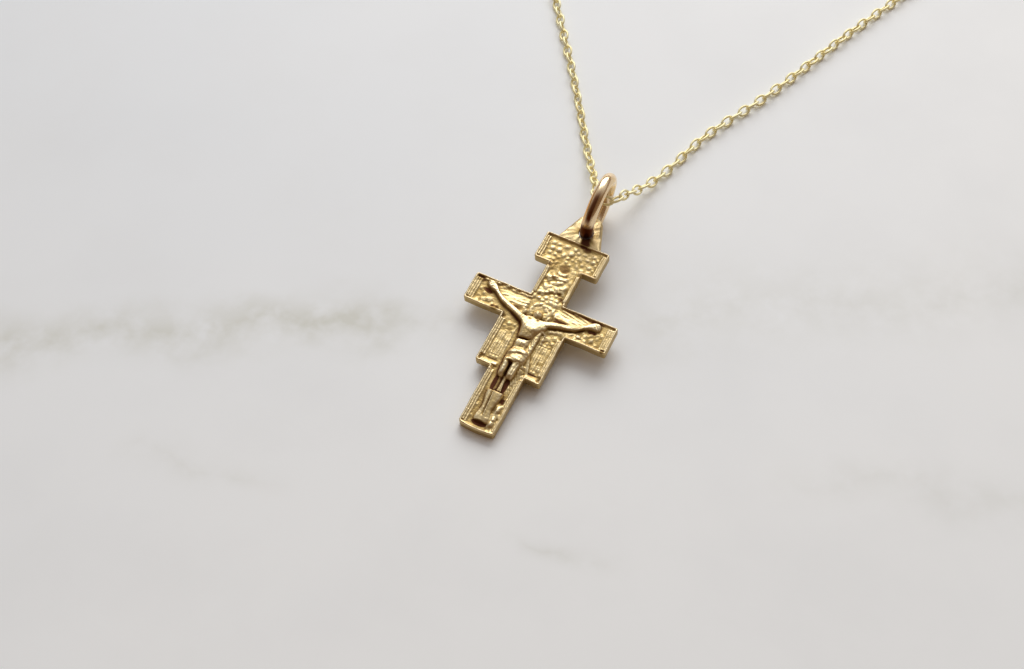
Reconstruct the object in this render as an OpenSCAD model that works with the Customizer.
/* [Cross] */
// Width of the cross across its arms
arm_w = 18.2; // [17:0.1:19]
// Height of the crossarm
arm_h = 3.8; // [3.6:0.1:4]
// Width of the neck above the crossarm
neck_w = 4.35; // [4.1:0.05:4.6]
// Height of the neck
neck_h = 4.8; // [4.6:0.05:5]
// Width of the cap panel
cap_w = 8.15; // [7.8:0.05:8.5]
// Height of the cap panel
cap_h = 3.9; // [3.7:0.05:4.1]
// Width of the apron under the crossarm
apron_w = 8.15; // [7.8:0.05:8.5]
// Height of the apron
apron_h = 6.75; // [6.5:0.05:7]
// Width of the foot of the cross
foot_w = 4.4; // [4.2:0.05:4.6]
// Height of the foot, below the apron
foot_h = 7.7; // [7.5:0.1:7.9]
// How far the foot's lower edge bows outwards
foot_bow = 0.25; // [0.1:0.05:0.4]
// Thickness of the cross at its rim
plate_t = 1.2; // [1.1:0.05:1.4]
// Depth of the sunk field below the rim
field_d = 0.35; // [0.25:0.05:0.4]
// Width of the raised rim
rim_w = 0.3; // [0.25:0.05:0.4]

/* [Relief] */
// Spacing of the fine ridges beside the rim
ridge_step = 0.28; // [0.26:0.02:0.32]
// Width of a fine ridge
ridge_w = 0.14; // [0.1:0.02:0.16]
// Height of the fine ridges above the field
ridge_h = 0.2; // [0.12:0.02:0.24]
// Radius of the larger grains
grain_r = 0.27; // [0.2:0.01:0.28]
// Spacing of the grains
grain_step = 0.62; // [0.6:0.02:0.66]
// Radius of the halo behind the head
halo_r = 1.35; // [1.2:0.05:1.5]

/* [Lug] */
// Half the width of the lug where it leaves the cap
lug_half = 2.9; // [2.7:0.1:3.1]
// Thickness of the lug
lug_t = 0.8; // [0.7:0.05:0.85]
// Radius of the lug's rounded end
lug_r = 1.7; // [1.6:0.05:1.8]
// Distance of the rounded end's centre above the cap
lug_up = 2.75; // [2.65:0.05:2.85]
// How far the lug is set in from the back of the cross
lug_set = 0.15; // [0.1:0.05:0.3]
// Diameter of the eye drilled through the lug
eye_d = 2.25; // [2.2:0.05:2.5]
// Distance of the eye above the cap
eye_up = 1.9; // [1.85:0.05:1.95]

/* [Bail ring] */
// Mean radius of the bail ring
ring_r = 3.6; // [3.55:0.05:3.65]
// Diameter of the bail ring's wire
ring_wire = 1.55; // [1.45:0.05:1.6]
// Lean of the ring to the side
ring_lean = 5; // [4:0.5:6.5]
// Turn of the ring about the upright
ring_turn = 2; // [0:0.5:3]

/* [Chain] */
// Width of the cable chain across its links
chain_w = 1.1; // [0.9:0.1:1.2]

/* [Clasp] */
// Mean radius of the clasp's round body
clasp_r = 2.35; // [2.2:0.05:2.4]
// Diameter of the clasp's tubular body
clasp_wire = 1.3; // [1.1:0.1:1.4]
// Mean radius of the small loop on the clasp
loop_r = 0.75; // [0.6:0.05:0.8]
// Wire diameter of the small loop
loop_wire = 0.5; // [0.4:0.1:0.6]

/* [Hidden] */
$fn = 48;

// Heights on the cross, counted from the middle of the crossarm
arm_top = arm_h / 2;
cap_low = arm_top + neck_h;
cap_top = cap_low + cap_h;
apron_low = -arm_h / 2 - apron_h;
foot_low = apron_low - foot_h;
field_t = plate_t - field_d;
lug_in = 0.25;
eye_v = cap_top + eye_up;

// Where the cross lies: its foot on the surface, its top end raised by the ring
cross_x = 13.5;
foot_y = -107.75;
tilt = 4.8;

// Where the ring stands
ring_x = 13.6;
ring_y = -75.8;
ring_z = ring_wire / 2 + ring_r * cos(ring_lean);

// Middle of the clasp, at the far end of the loop
clasp_y = 105;

bow_steps = 4;
relief_steps = 10;
chain_sides = 8;
ring_gap = 7.5;
small_fn = 24;

// How far small raised parts run into the field, and the margin left around rows of them
sunk = 0.1;
margin = 0.08;

// Rows of grains: how far they reach to each side in spacings, first row below the cap's top and above
// the crossarm, spacing of the rows
cap_rows = 3;
cap_reach = 4;
cap_first = 1;
cap_rise = 0.75;
neck_rows = 4;
neck_reach = 1.5;
neck_first = 0.55;
neck_rise = 0.66;
neck_shift = 0.22;
grain_lift = 0.02;
grain_clear = 0.25;

// Ring and dished boss where the neck meets the cap
roundel_v = cap_low - 0.05;
roundel_r = 1.05;
roundel_wire = 0.4;
roundel_lift = 0.04;
boss_low_r = 0.62;
boss_top_r = 0.42;

// Height of the boss and the halo above the field
low_rise = 0.22;
halo_u = 0.1;
halo_v = 0.15;

// Upright flutes beside the figure: nearest one, spacing, foot, radius, length and how much each is shorter
flutes_a_side = 3;
flute_u = 1.62;
flute_step = 0.44;
flute_foot = -7.25;
flute_r = 0.17;
flute_len = 3.6;
flute_drop = 0.4;

// Bars across the bottom of the apron: middle, length, width, first one above the edge, spacing, height
bar_u = 2.2;
bar_len = 1.4;
bar_w = 0.16;
bar_first = 0.55;
bar_step = 0.34;
bar_h = 0.18;

// Footrest under the feet
rest_w = 2.3;
rest_low = -12.05;
rest_deep = 0.4;
rest_h = 0.38;

// Tongue below it: half width, centre of its round end, top, height, and the crease down its middle
tongue_r = 0.92;
tongue_low = -14.45;
tongue_top = -11.9;
tongue_h = 0.28;
crease_w = 0.1;
crease_low = -15;
crease_h = 0.12;
crease_top = -12.1;

// How deep the figure's parts run into the field, each its own so that no two floors coincide
trunk_sink = 0.3;
head_sink = 0.28;
arm_sink = [0.25, 0.26];
leg_sink = [0.21, 0.22];

// How far the clasp's small loop runs into its body
loop_in = 0.1;

// Route of the chain: from the clasp down the right strand, through the ring and back up the left strand
ROUTE = [
    [5, 104.8, 0.55], [15, 103, 0.55], [28.5, 97.5, 0.55], [40.5, 88.5, 0.55], [49.5, 76.5, 0.55],
    [55, 63, 0.55], [57, 48, 0.55], [56, 37, 0.55], [53, 26.5, 0.55], [45.5, 8, 0.55],
    [38.5, -10.5, 0.55], [30.5, -30, 0.55], [24.5, -46, 0.55], [19.5, -57.5, 0.55], [18, -63, 0.55],
    [17.1, -66, 0.8], [16.2, -68.6, 1.5], [15.6, -70.6, 2.5], [15.1, -72.3, 3.4], [14.5, -73.6, 3.6],
    [13.5, -74, 3.7], [12.4, -73.7, 3.6], [11.7, -72.5, 3.4], [10.8, -70.7, 2.6], [9.6, -68.7, 1.6],
    [8, -66.1, 0.8], [6, -63, 0.55], [1.2, -55.6, 0.55], [-7.5, -43, 0.55], [-19, -26, 0.55],
    [-30, -9.5, 0.55], [-41, 7, 0.55], [-47.5, 16.5, 0.55], [-53, 26.5, 0.55], [-56, 37, 0.55],
    [-57, 48, 0.55], [-55, 63, 0.55], [-49.5, 76.5, 0.55], [-40.5, 88.5, 0.55], [-28.5, 97.5, 0.55],
    [-15, 103, 0.55], [-3.2, 105, 0.55]
];

// Relief tables: each row is [along the cross, across, half width, height above the field]
TRUNK = [
    [-1.15, 0.0, 1.25, 0.55],
    [-1.7, 0.0, 1.35, 0.85],
    [-2.5, 0.0, 1.15, 0.95],
    [-3.3, 0.0, 0.92, 0.85],
    [-3.9, 0.0, 0.74, 0.6],
    [-4.5, 0.0, 0.8, 0.66],
    [-5.1, 0.05, 0.95, 0.78],
    [-6.0, 0.1, 1.2, 0.98],
    [-6.8, 0.1, 1.25, 0.92],
    [-7.3, 0.1, 1.1, 0.6]
];
HEAD = [
    [-1.05, -0.2, 0.3, 0.85],
    [-0.7, -0.2, 0.5, 1.1],
    [-0.2, -0.25, 0.62, 1.2],
    [0.3, -0.3, 0.58, 1.1],
    [0.65, -0.3, 0.36, 0.85]
];
LEG = [
    [-6.9, 0.6, 0.48, 0.75],
    [-8.0, 0.58, 0.46, 0.92],
    [-9.0, 0.6, 0.42, 1.02],
    [-9.5, 0.6, 0.36, 0.8],
    [-10.5, 0.52, 0.3, 0.6],
    [-11.2, 0.45, 0.26, 0.5],
    [-11.75, 0.42, 0.3, 0.35]
];
ARM = [
    [-1.6, 0.9, 0.5, 0.72],
    [-1.45, 2.0, 0.46, 0.7],
    [-1.1, 3.3, 0.4, 0.64],
    [-0.45, 4.8, 0.34, 0.58],
    [0.35, 6.1, 0.26, 0.5],
    [0.75, 6.8, 0.32, 0.48],
    [1.05, 7.4, 0.22, 0.36]
];

// Stepped outline of the cross, drawn in from its edge by i
function right_side(i) = [
    [cap_w / 2 - i, cap_top - i],
    [cap_w / 2 - i, cap_low + i],
    [neck_w / 2 - i, cap_low + i],
    [neck_w / 2 - i, arm_top - i],
    [arm_w / 2 - i, arm_top - i],
    [arm_w / 2 - i, -arm_top + i],
    [apron_w / 2 - i, -arm_top + i],
    [apron_w / 2 - i, apron_low + i],
    [foot_w / 2 - i, apron_low + i],
    for (k = [bow_steps:-1:1])
        [(foot_w / 2 - i) * k / bow_steps, foot_low + i - foot_bow * (1 - pow(k / bow_steps, 2))]
];
function outline(i) = concat(
    right_side(i),
    [[0, foot_low + i - foot_bow]],
    [for (k = [len(right_side(i)) - 1:-1:0]) [-right_side(i)[k][0], right_side(i)[k][1]]]
);

// Closed skin over rings of equal length, each ring running right-handed about the direction of travel
function skin_faces(rings, n) = concat(
    [[for (j = [0:n - 1]) j]],
    [for (i = [0:rings - 2], j = [0:n - 1])
        [i * n + j, (i + 1) * n + j, (i + 1) * n + (j + 1) % n, i * n + (j + 1) % n]],
    [[for (j = [n - 1:-1:0]) (rings - 1) * n + j]]
);

// Low arched loft that follows a relief table, sunk below the field to join the cross
module relief(rows, sink, side = 1) {
    last = len(rows) - 1;
    pts = [for (k = [0:last])
        let (
            r = rows[k],
            a = rows[max(k - 1, 0)],
            b = rows[min(k + 1, last)],
            d = [side * (b[1] - a[1]), b[0] - a[0]],
            s = [d[1], -d[0]] / norm(d),
            c = [side * r[1], r[0]]
        )
        each concat(
            [for (j = [0:relief_steps])
                let (t = 180 - 180 * j / relief_steps)
                [c[0] + s[0] * r[2] * cos(t), c[1] + s[1] * r[2] * cos(t), field_t + r[3] * sin(t)]],
            [[c[0] + s[0] * r[2], c[1] + s[1] * r[2], field_t - sink],
             [c[0] - s[0] * r[2], c[1] - s[1] * r[2], field_t - sink]]
        )
    ];
    polyhedron(pts, skin_faces(len(rows), relief_steps + 3), convexity = 4);
}

module place_cross() {
    translate([cross_x, foot_y, 0]) rotate([tilt, 0, 0]) translate([0, -foot_low, 0]) children();
}

module plate() {
    difference() {
        linear_extrude(plate_t) polygon(outline(0));
        translate([0, 0, field_t]) linear_extrude(plate_t) polygon(outline(rim_w));
    }
}

// Tapered lug with a round end, run in under the cap's rim
module lug() {
    rise = lug_up + lug_in;
    reach = norm([lug_half, rise]);
    touch = atan2(-rise, lug_half) + acos(lug_r / reach);
    translate([0, cap_top + lug_up, lug_set]) linear_extrude(lug_t) {
        polygon([
            [lug_half, -rise],
            [lug_r * cos(touch), lug_r * sin(touch)],
            [-lug_r * cos(touch), lug_r * sin(touch)],
            [-lug_half, -rise]
        ]);
        circle(r = lug_r);
    }
}

// Pairs of fine upright ridges beside the rim, in rows of [edge, low end, high end]
module ridges() {
    runs = [
        [cap_w / 2, cap_low, cap_top],
        [arm_w / 2, -arm_top, arm_top],
        [apron_w / 2, apron_low, -arm_top + rim_w],
        [foot_w / 2, foot_low, apron_low + rim_w]
    ];
    for (run = runs, k = [0:1], side = [-1, 1]) {
        u = side * (run[0] - rim_w - margin - ridge_step * (k + 0.5));
        low = run[1] + rim_w + margin;
        translate([u - ridge_w / 2, low, field_t - sunk])
            cube([ridge_w, run[2] - rim_w - margin - low, ridge_h + sunk]);
    }
}

// Round grains in rows, on the cap beside the roundel and on the neck
module grains() {
    for (row = [0:cap_rows - 1], col = [-cap_reach:cap_reach]) {
        u = col * grain_step;
        v = cap_top - cap_first - row * cap_rise;
        if (norm([u, v - roundel_v]) > roundel_r + grain_r + grain_clear) grain(u, v);
    }
    for (row = [0:neck_rows - 1], col = [-neck_reach:1:neck_reach])
        grain((col + (row % 2) * neck_shift) * grain_step, arm_top + neck_first + row * neck_rise);
}

module grain(u, v) {
    translate([u, v, field_t + grain_lift]) sphere(r = grain_r);
}

module roundel() {
    translate([0, roundel_v, field_t]) {
        rotate_extrude() translate([roundel_r, roundel_lift]) circle(d = roundel_wire, $fn = small_fn);
        translate([0, 0, -sunk]) cylinder(r1 = boss_low_r, r2 = boss_top_r, h = low_rise + sunk);
    }
}

// Upright flutes on the apron to each side of the figure
module flutes() {
    for (side = [-1, 1], k = [0:flutes_a_side - 1])
        translate([side * (flute_u + flute_step * k), flute_foot, field_t])
            rotate([-90, 0, 0])
                cylinder(r = flute_r, h = flute_len - flute_drop * k, $fn = small_fn);
}

// Bars across the bottom of the apron, to each side of the figure
module bars() {
    for (side = [-1, 1], k = [0:1])
        translate([side * bar_u - bar_len / 2, apron_low + bar_first + bar_step * k, field_t - sunk])
            cube([bar_len, bar_w, bar_h + sunk]);
}

module halo() {
    translate([halo_u, halo_v, field_t - sunk]) cylinder(r = halo_r, h = low_rise + sunk);
}

module figure() {
    relief(TRUNK, trunk_sink);
    relief(HEAD, head_sink);
    for (k = [0, 1]) {
        relief(ARM, arm_sink[k], 2 * k - 1);
        relief(LEG, leg_sink[k], 2 * k - 1);
    }
}

// Footrest, and the plain tongue with a rounded end and a crease below it
module foot_panel() {
    translate([-rest_w / 2, rest_low, field_t - sunk]) cube([rest_w, rest_deep, rest_h + sunk]);
    difference() {
        translate([0, 0, field_t - sunk]) linear_extrude(tongue_h + sunk) {
            translate([-tongue_r, tongue_low]) square([2 * tongue_r, tongue_top - tongue_low]);
            translate([0, tongue_low]) circle(r = tongue_r);
        }
        translate([-crease_w / 2, crease_low, field_t + crease_h])
            cube([crease_w, crease_top - crease_low, 1]);
    }
}

module crucifix() {
    color("goldenrod") place_cross() difference() {
        union() {
            plate();
            lug();
            ridges();
            grains();
            roundel();
            flutes();
            bars();
            halo();
            foot_panel();
            figure();
        }
        translate([0, eye_v, -plate_t]) cylinder(d = eye_d, h = 3 * plate_t);
    }
}

module bail_ring() {
    color("goldenrod") translate([ring_x, ring_y, ring_z])
        rotate([0, 0, ring_turn]) rotate([0, ring_lean, 0]) rotate([0, 90, 0])
            rotate_extrude() translate([ring_r, 0]) circle(d = ring_wire);
}

// Smooth curve through the route: Hermite spans whose tangents weigh the chords on each side
function chord(k) = norm(ROUTE[k + 1] - ROUTE[k]);
function tangent(k) =
    k == 0 ? (ROUTE[1] - ROUTE[0]) / chord(0) :
    k == len(ROUTE) - 1 ? (ROUTE[k] - ROUTE[k - 1]) / chord(k - 1) :
    let (a = chord(k - 1), b = chord(k))
    ((ROUTE[k] - ROUTE[k - 1]) * b / a + (ROUTE[k + 1] - ROUTE[k]) * a / b) / (a + b);
function on_span(k, t) =
    ROUTE[k] * (2 * t * t * t - 3 * t * t + 1) + ROUTE[k + 1] * (3 * t * t - 2 * t * t * t)
    + tangent(k) * chord(k) * (t * t * t - 2 * t * t + t)
    + tangent(k + 1) * chord(k) * (t * t * t - t * t);
function chain_path() = [
    for (k = [0:len(ROUTE) - 2])
        let (n = max(1, round(chord(k) / ring_gap)))
        for (i = [0:n - 1]) on_span(k, i / n),
    ROUTE[len(ROUTE) - 1]
];

module chain() {
    path = chain_path();
    last = len(path) - 1;
    r = chain_w / 2 / cos(180 / chain_sides);
    pts = [for (k = [0:last])
        let (
            d = path[min(k + 1, last)] - path[max(k - 1, 0)],
            f = d / norm(d),
            s = cross(f, [0, 0, 1]) / norm(cross(f, [0, 0, 1])),
            up = cross(s, f)
        )
        for (j = [0:chain_sides - 1])
            let (t = 360 * (j + 0.5) / chain_sides)
            path[k] + r * (cos(t) * s - sin(t) * up)
    ];
    color("khaki") polyhedron(pts, skin_faces(last + 1, chain_sides), convexity = 8);
}

// Round clasp body with one small loop, lying flat
module clasp() {
    color("khaki") translate([0, clasp_y, clasp_wire / 2]) {
        rotate_extrude() translate([clasp_r, 0]) circle(d = clasp_wire);
        translate([clasp_r + clasp_wire / 2 + loop_r - loop_in, 0, 0])
            rotate_extrude() translate([loop_r, 0]) circle(d = loop_wire, $fn = small_fn);
    }
}

crucifix();
bail_ring();
chain();
clasp();
